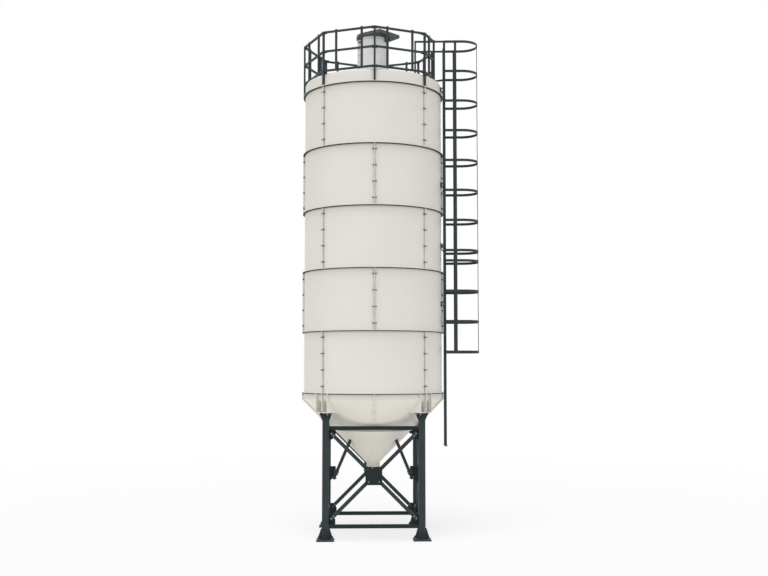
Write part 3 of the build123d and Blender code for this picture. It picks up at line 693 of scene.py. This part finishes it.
# %% Hopper seam bolts
skirt_bottom = 2.9
neck_radius = 0.14
cone_height = 1.39
cone_slope = (shell_radius - neck_radius) / cone_height
hopper_levels = np.array([2.96, 2.78, 2.62, 2.46, 2.3])
hopper_radii = shell_radius - np.maximum(skirt_bottom - hopper_levels, 0) * cone_slope + 0.6 * flange_width
seam, row = np.meshgrid(np.arange(panels), np.arange(len(hopper_levels)), indexing="ij")
hopper_turn = (seam * 2 * pi / panels).ravel()
hopper_across = along_circle(hopper_turn)
hopper_place = on_circle(hopper_radii[row].ravel(), hopper_turn, hopper_levels[row].ravel())
hopper_face = hopper_place + flange_thickness * hopper_across
hopper_bolt = {"across": 0.024, "grip": 2 * flange_thickness, "stub": 0.004}
bolts("hopper_bolts", hopper_face, hopper_across, shell_paint, slot="shell_paint", **hopper_bolt)

# %% [markdown]
# ## Frame bolts
# The frame comes in pieces on a lorry and is bolted up on the site, so each bar
# has two zinc-plated bolts at its outer end. Each middle gusset has three more,
# and two that are painted over. One face is laid out in x and z, and a quarter
# turn carries it to the others.

# %% Frame bolts
leg_place = 1.0
brace_place = 1.015
brace_middle = 1.321
bar_rise = 0.9914
bar_half = 0.025
bar_bolt_places = (0.835, 0.877)
gusset_thickness = 0.01
gusset_bolt_places = [(-0.109, 1.2), (0.109, 1.2), (-0.03, 1.49)]
painted_bolt_places = [(-0.125, 1.455), (0.125, 1.455)]
frame_bolt = {"across": 0.026, "grip": 0.06, "stub": 0.012}
painted_bolt = {"across": 0.024, "grip": 0.06, "stub": 0.01}


def four_faces(points):
    """Points or directions of the front face, turned to all four faces."""
    turns = [np.array([(cos(a), sin(a), 0), (-sin(a), cos(a), 0), (0, 0, 1)]) for a in np.arange(4) * pi / 2]
    return np.concatenate([points @ turn for turn in turns])


def frame_bolts(name, places, y, material, sizes):
    """Bolts at places (x, z) of the front face at a depth y, on all four faces."""
    x, z = np.asarray(places, float).T
    points = np.stack([x, np.full_like(x, y), z], axis=1)
    outward = np.tile((0.0, -1.0, 0.0), (len(x), 1))
    bolts(name, four_faces(points), four_faces(outward), material, **sizes)


side, level, along = np.meshgrid((-1, 1), (-1, 1), bar_bolt_places, indexing="ij")
bar_ends = np.stack([(side * along).ravel(), (brace_middle + level * bar_rise * along).ravel()], axis=1)
outer_face = -brace_place - bar_half
gusset_face = outer_face - gusset_thickness
frame_bolts("bar_end_bolts", bar_ends, outer_face, zinc, frame_bolt)
frame_bolts("gusset_bolts", gusset_bolt_places, gusset_face, zinc, frame_bolt)
frame_bolts("painted_bolts", painted_bolt_places, gusset_face, weld_steel, painted_bolt)

# %% [markdown]
# Each strut is held by three bolts through its lower end. Their heads stand on
# the strut's inner side and are the small knobs in the photograph.

# %% Strut bolts
strut_foot = np.array([0.845, -0.1933, 1.18])
strut_head = np.array([0.4895, -0.4107, 2.02])
strut_bolt_places = np.array([0.03, 0.13, 0.18])
strut_half = 0.0335
strut_line = (strut_head - strut_foot) / np.linalg.norm(strut_head - strut_foot)
strut_inward = np.cross(strut_line, np.array([0.0, 1.0, 0.0]))
strut_inward = strut_inward / np.linalg.norm(strut_inward)
strut_inward = strut_inward * -np.sign(strut_inward[0])
knobs = strut_foot + strut_bolt_places[:, None] * strut_line + strut_half * strut_inward
mirror = np.array([-1.0, 1.0, 1.0])
knob_places = np.concatenate([knobs, knobs * mirror])
knob_axes = np.concatenate([np.tile(strut_inward, (3, 1)), np.tile(strut_inward * mirror, (3, 1))])
bolts("strut_bolts", knob_places, knob_axes, dark_steel, across=0.03, grip=2 * strut_half, stub=0.006)

# %% [markdown]
# ## Feet and seats
# Each foot is held down by four anchor bolts. What shows is a washer, a nut and
# a little thread with a chamfered end, each turned by itself.

# %% Anchor bolts
foot_thickness = 0.022
anchor_offset = 0.145
anchor_across = 0.036
anchor_sides = 16
# A hexagon's corner lies its half width over 0.866 from the middle.
nut_corner = 0.5 * anchor_across / 0.866
leg_x, leg_y, hole_x, hole_y = np.meshgrid((-1, 1), (-1, 1), (-1, 1), (-1, 1), indexing="ij")
anchor_x = (leg_x * leg_place + hole_x * anchor_offset).ravel()
anchor_y = (leg_y * leg_place + hole_y * anchor_offset).ravel()
anchor_place = np.stack([anchor_x, anchor_y, np.full(anchor_x.shape, foot_thickness)], axis=1)
anchor_axis = upward(len(anchor_x))
anchor_nut = turned([(nut_corner, 0.004), (nut_corner, 0.026), (0.017, 0.03)], 6)
anchor_washer = turned([(0.024, 0.0), (0.024, 0.004)], anchor_sides)
anchor_thread = turned([(0.0118, -0.021), (0.0118, 0.048), (0.0105, 0.05)], round_sides)
piece("anchor_nuts", placed(anchor_nut, anchor_place, anchor_axis), closed(3, 6), weld_steel)
piece("anchor_washers", placed(anchor_washer, anchor_place, anchor_axis), closed(2, anchor_sides), weld_steel)
piece("anchor_threads", placed(anchor_thread, anchor_place, anchor_axis), closed(3, round_sides), dark_steel)

# %% [markdown]
# Four bolts join each leg's cap plate to the seat above it, clear of the ribs.
# The plates stand square to the drum's radius there, an eighth of a turn round.

# %% Seat bolts
seat_top = 2.6363
seat_grip = 0.0323
seat_bolt_out = (-0.05, 0.05)
seat_bolt_aside = (-0.1, 0.1)
quarter, out, aside = np.meshgrid(np.arange(4), seat_bolt_out, seat_bolt_aside, indexing="ij")
corner_turn = (pi / 4 + quarter * pi / 2).ravel()
seat_middle = on_circle(leg_place * sqrt(2) + out.ravel(), corner_turn, np.full(out.size, seat_top))
seat_place = seat_middle + aside.reshape(-1, 1) * along_circle(corner_turn)
bolts("seat_bolts", seat_place, upward(len(seat_place)), zinc, across=0.03, grip=seat_grip, stub=0.012)

# %% [markdown]
# ## Weld beads
# Where bars are welded and not bolted there is a bead in the corner. It is laid
# in small overlapping drops, so its radius rises and falls along its length.

# %% Weld beads
bead_radius = 0.005
bead_ripple = 0.14
bead_sides = 6
bead_crease = 80.0
blunt_end = 0.15


def beads(name, starts, ends, radius, material=weld_steel, slot="frame_paint", drop=0.009):
    """Beads between pairs of points, all of one length.

    At a distance s along it a bead's radius is
    radius * (1 + bead_ripple * cos(2 pi s / drop)), and it shrinks to a blunt tip
    at both ends."""
    starts, ends = np.asarray(starts, float), np.asarray(ends, float)
    length = float(np.linalg.norm(ends[0] - starts[0]))
    steps = max(6, int(length / drop) * 3)
    s = np.linspace(0.0, length, steps)
    taper = np.sqrt(np.clip(np.minimum(s, length - s) / radius, blunt_end, 1.0))
    swell = radius * (1 + bead_ripple * np.cos(2 * pi * s / drop)) * taper
    shape = turned(np.stack([swell, s], axis=1), bead_sides)
    piece(name, placed(shape, starts, ends - starts), closed(steps, bead_sides), material, bead_crease)


print("a bead's radius goes from", bead_radius * (1 - bead_ripple), "to", bead_radius * (1 + bead_ripple))

# %% [markdown]
# At each foot, beads run along the leg's tube between the ribs, and along both
# sides of every rib.

# %% Beads at the feet
tube_half = 0.07
foot_half = 0.165
rib_half = 0.005
corner_from = rib_half + 0.002
corner_to = tube_half - 0.012
rib_from = tube_half + 0.004
corner_starts, corner_ends, rib_starts, rib_ends = [], [], [], []
for x, y in ((-1, -1), (1, -1), (-1, 1), (1, 1)):
    middle = np.array([x * leg_place, y * leg_place, foot_thickness])
    for a in np.arange(4) * pi / 2:
        outward = np.array([cos(a), sin(a), 0.0])
        aside = np.array([-sin(a), cos(a), 0.0])
        for way in (-1, 1):
            corner_starts.append(middle + tube_half * outward + way * corner_from * aside)
            corner_ends.append(middle + tube_half * outward + way * corner_to * aside)
            rib_starts.append(middle + rib_from * outward + way * rib_half * aside)
            rib_ends.append(middle + foot_half * outward + way * rib_half * aside)
beads("tube_beads", corner_starts, corner_ends, bead_radius)
beads("rib_beads", rib_starts, rib_ends, bead_radius)

# %% [markdown]
# The roof's eight sheets are welded too, and their beads are painted over. The
# first is turned so that two of them pass either side of the hatch.

# %% Roof beads
cap_height = 0.265
roof_edge = base_height + ring_height * ring_count + cap_height
roof_slope = 0.12278
roof_rim_radius = 1.43
roof_rim = roof_edge + 0.0018
collar_radius = 0.352
roof_sheets = 8
first_sheet = radians(37.5)
roof_bead = {"radius": 0.0045, "drop": 0.016}
roof_turns = first_sheet + np.arange(roof_sheets) * pi / 4
collar_top = roof_rim + (roof_rim_radius - collar_radius) * roof_slope
rim_points = around([(roof_rim_radius, 0.0, roof_rim)], roof_turns)[:, 0]
collar_points = around([(collar_radius, 0.0, collar_top)], roof_turns)[:, 0]
beads("roof_beads", collar_points, rim_points, material=shell_paint, slot="shell_paint", **roof_bead)

# %% [markdown]
# The level ties are welded to the legs with an upright bead at each edge.

# %% Tie beads
leg_face = leg_place - tube_half
tie_bottoms = (0.25, 2.265)
tie_height = 0.08
tie_starts = []
for bottom in tie_bottoms:
    for side in (-1, 1):
        for depth in (-bar_half, bar_half):
            tie_starts.append((side * leg_face, -brace_place + depth, bottom))
tie_starts = four_faces(np.array(tie_starts))
beads("tie_beads", tie_starts, tie_starts + (0.0, 0.0, tie_height), bead_radius)

# %% [markdown]
# ## Ladder and cage
# The ladder stands off the drum at its right, turned a little to the front. Its
# pieces are placed by how far out they are from the drum's axis, how far across
# the ladder and how high.

# %% Places on the ladder
ladder_turn = radians(-3.2)
ladder_out = np.array([cos(ladder_turn), sin(ladder_turn), 0.0])
ladder_across = np.array([-sin(ladder_turn), cos(ladder_turn), 0.0])
ladder_radius = 1.575
stile_middle = 0.225
stile_outer = 0.235
top_hoop = 10.704
hoop_pitch = 0.658
upper_hoop_count, lower_hoop_count = 8, 4
joint_gap = 0.224
upper_hoops = top_hoop - hoop_pitch * np.arange(upper_hoop_count)[::-1]
lower_hoops = upper_hoops[0] - joint_gap - hoop_pitch * np.arange(lower_hoop_count)[::-1]
ladder_joint = upper_hoops[0] - joint_gap / 2
sides = np.array([-1.0, 1.0])


def at_ladder(out, across, level):
    """Points from arrays of places out from the axis, across the ladder and up."""
    out, across, level = np.broadcast_arrays(out, across, level)
    up = np.array([0.0, 0.0, 1.0])
    return out.reshape(-1, 1) * ladder_out + across.reshape(-1, 1) * ladder_across + level.reshape(-1, 1) * up


print("ladder joint at", round(float(ladder_joint), 3), "m")

# %% [markdown]
# The ladder's two lengths meet end to end, and a fishplate bolted over each
# stile holds them in line.

# %% Fishplates
fishplate_thickness = 0.006
fishplate_half_width, fishplate_half_height = 0.021, 0.079
fishplate_bolt_levels = np.array([-0.062, -0.024, 0.024, 0.062])
fishplate = slab(rectangle(fishplate_half_width, fishplate_half_height), fishplate_thickness)
fishplate_place = at_ladder(ladder_radius, sides * stile_outer, ladder_joint)
fishplate_axes = sides[:, None] * ladder_across
piece("fishplates", placed(fishplate, fishplate_place, fishplate_axes), closed(4, 4), frame_paint)
side, level = np.meshgrid(sides, ladder_joint + fishplate_bolt_levels, indexing="ij")
fish_place = at_ladder(ladder_radius, side * (stile_outer + fishplate_thickness), level)
fish_axes = side.reshape(-1, 1) * ladder_across
bolts("fishplate_bolts", fish_place, fish_axes, weld_steel, across=0.019, grip=0.026, stub=0.005)

# %% [markdown]
# Each rung goes through its stiles and is welded on the outside, which leaves a
# small round cap.

# %% Rung ends
first_rung = 2.02
rung_pitch = 0.28
rung_levels = np.arange(first_rung, roof_edge, rung_pitch)
side, level = np.meshgrid(sides, rung_levels, indexing="ij")
rung_cap = turned([(0.019, 0.0), (0.017, 0.0035), (0.01, 0.005)], round_sides)
rung_place = at_ladder(ladder_radius, side * stile_outer, level)
rung_axes = side.reshape(-1, 1) * ladder_across
piece("rung_ends", placed(rung_cap, rung_place, rung_axes), closed(3, round_sides), weld_steel)

# %% [markdown]
# The plates that carry the ladder stand on pads, which lie flat on the drum. Each
# pad has four bolts through the sheet.

# %% Ladder pads
pad_thickness = 0.007
pad_half_width, pad_half_height = 0.042, 0.07
pad_bolt_aside, pad_bolt_rise = 0.026, 0.052
pad_levels = base_height + ring_height * np.array([1.47, 2.44, 3.47, 5.1])
pad_out = sqrt(shell_radius**2 - stile_middle**2)
side, level = np.meshgrid(sides, pad_levels, indexing="ij")
pad_axis = at_ladder(pad_out, side * stile_middle, 0.0) / shell_radius
pad_place = at_ladder(pad_out, side * stile_middle, level)
pad = slab(rectangle(pad_half_width, pad_half_height), pad_thickness)
piece("ladder_pads", placed(pad, pad_place, pad_axis), closed(4, 4), frame_paint)
pad_corners = [
    (x, y, pad_thickness)
    for x in (-pad_bolt_aside, pad_bolt_aside)
    for y in (-pad_bolt_rise, pad_bolt_rise)
]
pad_bolt_place = placed(np.array(pad_corners), pad_place, pad_axis).reshape(-1, 3)
pad_bolt_axis = np.repeat(pad_axis, len(pad_corners), axis=0)
bolts("pad_bolts", pad_bolt_place, pad_bolt_axis, weld_steel, across=0.019, grip=0.01, nuts=False)

# %% [markdown]
# The cage's straps are bolted inside its hoops. The bolts at the back have
# their heads on the inside, with nothing outside that could catch on clothes.

# %% Cage bolts
strap_out = 0.237
strap_side = 0.373
cage_arm = 0.37
hoop_inner = 0.367
strap_half = 0.026
strap_thickness = 0.012
strap_gap = 0.0003
hoops = np.concatenate([lower_hoops, upper_hoops])
side, level = np.meshgrid(sides, hoops, indexing="ij")
strap_place = at_ladder(ladder_radius + strap_out, side * strap_side, level)
strap_axes = side.reshape(-1, 1) * ladder_across
bolts("strap_bolts", strap_place, strap_axes, weld_steel, across=0.017, grip=0.0183, stub=0.004)
apex_inner = ladder_radius + cage_arm + sqrt(hoop_inner**2 - strap_half**2) - strap_thickness - strap_gap
apex_place = at_ladder(apex_inner, 0.0, hoops)
apex_axes = np.tile(-ladder_out, (len(hoops), 1))
bolts("apex_bolts", apex_place, apex_axes, weld_steel, across=0.017, grip=0.012, nuts=False)

# %% [markdown]
# ## Guardrail clamps
# A bent plate sits in each corner of the guardrail, behind the post and over
# the ends of the two rails. Its section is carried along the bend, lower at the
# ends, so that its corners are cut off.

# %% Guardrail clamps
half_corner = pi / 8
rail_half = 0.02
clamp_gap = 0.0003
plate_thickness = 0.006
post_radius = 1.524
rail_levels = roof_edge + np.array([0.053, 0.47, 0.885])
posts = np.arange(1, 8) * pi / 4
inner_face = post_radius * cos(half_corner) - rail_half - clamp_gap
bend = np.array([inner_face / cos(half_corner), 0.0])
thin = np.array([plate_thickness / cos(half_corner), 0.0])
clamp_end, clamp_shoulder = 0.068, 0.054
end_height, full_height = 0.018, 0.031
clamp_profile = (
    (-clamp_end, end_height),
    (-clamp_shoulder, full_height),
    (0.0, full_height),
    (clamp_shoulder, full_height),
    (clamp_end, end_height),
)


def wing(reach):
    """The direction out through a rail and the place along it, for a signed reach."""
    way = -1.0 if reach < 0 else 1.0
    out = np.array([cos(half_corner), way * sin(half_corner)])
    along = np.array([-sin(half_corner), way * cos(half_corner)])
    return out, bend + abs(reach) * along


section = []
for reach, half_height in clamp_profile:
    out, outer = wing(reach)
    inner = outer - (thin if reach == 0.0 else plate_thickness * out)
    section += [(*outer, -half_height), (*outer, half_height)]
    section += [(*inner, half_height), (*inner, -half_height)]
clamps = np.concatenate([around(section, posts, (0.0, 0.0, level)) for level in rail_levels])
piece("rail_clamps", clamps, closed(len(clamp_profile), 4), frame_paint)

# %% [markdown]
# Each wing of a clamp has a bolt through its rail. The posts are welded to the
# edge of the roof's flange, with a bead on both sides.

# %% Clamp bolts and post beads
clamp_bolt_place = 0.046
clamp_places, clamp_axes = [], []
for reach in (-clamp_bolt_place, clamp_bolt_place):
    out, outer = wing(reach)
    through = np.append(outer + (2 * rail_half + clamp_gap) * out, 0.0)
    for level in rail_levels:
        clamp_places.append(around([through], posts, (0.0, 0.0, level))[:, 0])
        clamp_axes.append(around([(*out, 0.0)], posts)[:, 0])
clamp_places, clamp_axes = np.concatenate(clamp_places), np.concatenate(clamp_axes)
bolts("clamp_bolts", clamp_places, clamp_axes, weld_steel, across=0.019, grip=0.0466, stub=0.008)

post_foot = 9.5363
post_inner, post_outer = 1.507, 1.541
post_bead_radius = 0.004


def post_points(radius):
    """The foot of each post at a radius, on its left side and then its right."""
    return np.concatenate([around([(radius, way * rail_half, post_foot)], posts)[:, 0] for way in (-1, 1)])


beads("post_beads", post_points(post_inner), post_points(post_outer), post_bead_radius)

# %% [markdown]
# The handrails end in round feet, each with four small bolts into the roof.

# %% Handrail feet
handrail_inset = 0.0033
handrail_reach = 0.635
handrail_end = ladder_radius - handrail_inset - handrail_reach
cone_edge_radius = 1.445
foot_plate = 0.008
foot_bolt_circle = 0.035
foot_top = roof_edge + (cone_edge_radius - handrail_end) * roof_slope + foot_plate
quarter_turns = pi / 4 + np.arange(4) * pi / 2
foot_bolts = []
for side in (-cage_arm, cage_arm):
    centre = handrail_end * ladder_out + side * ladder_across + (0.0, 0.0, foot_top)
    foot_bolts.append(around([(foot_bolt_circle, 0.0, 0.0)], quarter_turns, centre)[:, 0])
foot_bolts = np.concatenate(foot_bolts)
bolts("handrail_bolts", foot_bolts, upward(len(foot_bolts)), zinc, across=0.011, grip=0.008, nuts=False)

# %% [markdown]
# ## Filter and hatch
# The filter's casing is two half shells bolted along upright flanges, on a
# collar with a ring of bolts.

# %% Filter bolts
seam_bottom, seam_top, seam_rows = 10.08, 10.8, 6
seam_levels = np.linspace(seam_bottom, seam_top, seam_rows)
filter_seam_out, filter_seam_front = 0.329, -0.006
ring_bolt_count = 16
ring_bolt_radius, collar_plate_top = 0.326, 10.0001
side, level = np.meshgrid(sides, seam_levels, indexing="ij")
filter_seam_y = np.full(side.size, filter_seam_front)
filter_place = np.stack([side.ravel() * filter_seam_out, filter_seam_y, level.ravel()], axis=1)
filter_axes = np.tile((0.0, -1.0, 0.0), (side.size, 1))
filter_bolt = {"across": 0.016, "slot": "filter_paint"}
bolts("filter_seam_bolts", filter_place, filter_axes, zinc, grip=0.012, stub=0.005, **filter_bolt)
ring_turns = (np.arange(ring_bolt_count) + 0.5) * 2 * pi / ring_bolt_count
ring_place = around([(ring_bolt_radius, 0.0, collar_plate_top)], ring_turns)[:, 0]
bolts("filter_ring_bolts", ring_place, upward(ring_bolt_count), zinc, grip=0.01, nuts=False, **filter_bolt)

# %% [markdown]
# The filter's lid and the hatch's lid are held down by clamps that can be undone
# by hand: a rod through two lugs, with a knob under the lower one.

# %% Lid clamps
lug_radius = 0.018
lug_thickness = 0.008
rod_out = 0.035
rod_radius = 0.006
rod_below, rod_above = 0.02, 0.03
lug_turns = np.linspace(-pi / 2, pi / 2, 9)
lug_end = [(rod_out + lug_radius * cos(a), lug_radius * sin(a)) for a in lug_turns]
lug_outline = [(0.0, -lug_radius), *lug_end, (0.0, lug_radius)]
lug = slab(lug_outline, lug_thickness)
knob_profile = [(0.012, 0.022), (0.018, 0.014), (0.016, 0.004), (0.009, 0.0)]


def clamps_round(name, centre, radius, bottom, top, azimuths):
    """Clamps on a round body: lugs at two heights, a rod and a knob."""
    turns = np.radians(azimuths)
    for part, height in (("foot", bottom), ("head", top)):
        points = lug + (radius, 0.0, height)
        piece(name + "_lugs_" + part, around(points, turns, centre), closed(4, len(lug_outline)), frame_paint)
    bar = rod(rod_radius, bottom - rod_below, top + rod_above) + (radius + rod_out, 0.0, 0.0)
    piece(name + "_rods", around(bar, turns, centre), closed(2, round_sides), zinc)
    knob = turned([(r, bottom - z) for r, z in knob_profile], round_sides) + (radius + rod_out, 0.0, 0.0)
    piece(name + "_knobs", around(knob, turns, centre), closed(len(knob_profile), round_sides), rubber)


hatch_distance, hatch_turn = 0.9, radians(150)
hatch_centre = (hatch_distance * cos(hatch_turn), hatch_distance * sin(hatch_turn), 0.0)
clamps_round("filter_clamps", (0.0, 0.0, 0.0), 0.304, 10.77, 10.832, (60.0, 120.0, 205.0))
clamps_round("hatch_clamps", hatch_centre, 0.281, 9.915, 9.9395, (60.0, 150.0, 240.0))

# %% [markdown]
# The filter's lid swings up on a hinge at its front right: a leaf on the
# casing, three ears and a pin.

# %% Lid hinge
hinge_turn = radians(-24)
hinge_face = 0.303
hinge_top = 10.8702
hinge_out = np.array([cos(hinge_turn), sin(hinge_turn), 0.0])
hinge_along = np.array([-sin(hinge_turn), cos(hinge_turn), 0.0])
leaf_half, leaf_drop, leaf_thickness = 0.07, 0.095, 0.008
leaf_outline = [(-leaf_half, -leaf_drop), (leaf_half, -leaf_drop), (leaf_half, 0.0), (-leaf_half, 0.0)]
leaf = slab(leaf_outline, leaf_thickness)
leaf_place = hinge_face * hinge_out + (0.0, 0.0, hinge_top)
piece("hinge_leaf", placed(leaf, [leaf_place], [hinge_out]), closed(4, 4), lid_paint)
ear_outline = [(0.0, 0.0), (-0.07, 0.0), (-0.07, -0.035), (-0.02, -0.09), (0.0, -0.09)]
ear = slab(ear_outline, 0.01)
ear_places = leaf_place + np.array([-0.062, -0.005, 0.052])[:, None] * hinge_along
ear_axes = np.tile(hinge_along, (len(ear_places), 1))
piece("hinge_ears", placed(ear, ear_places, ear_axes), closed(4, len(ear_outline)), lid_paint)
pin_out, pin_drop, pin_sides = 0.05, 0.022, 14
pin = turned([(0.007, -0.075), (0.009, -0.073), (0.009, 0.073), (0.007, 0.075)], pin_sides)
pin_place = leaf_place + pin_out * hinge_out - (0.0, 0.0, pin_drop)
piece("hinge_pin", placed(pin, [pin_place], [hinge_along]), closed(4, pin_sides), zinc)
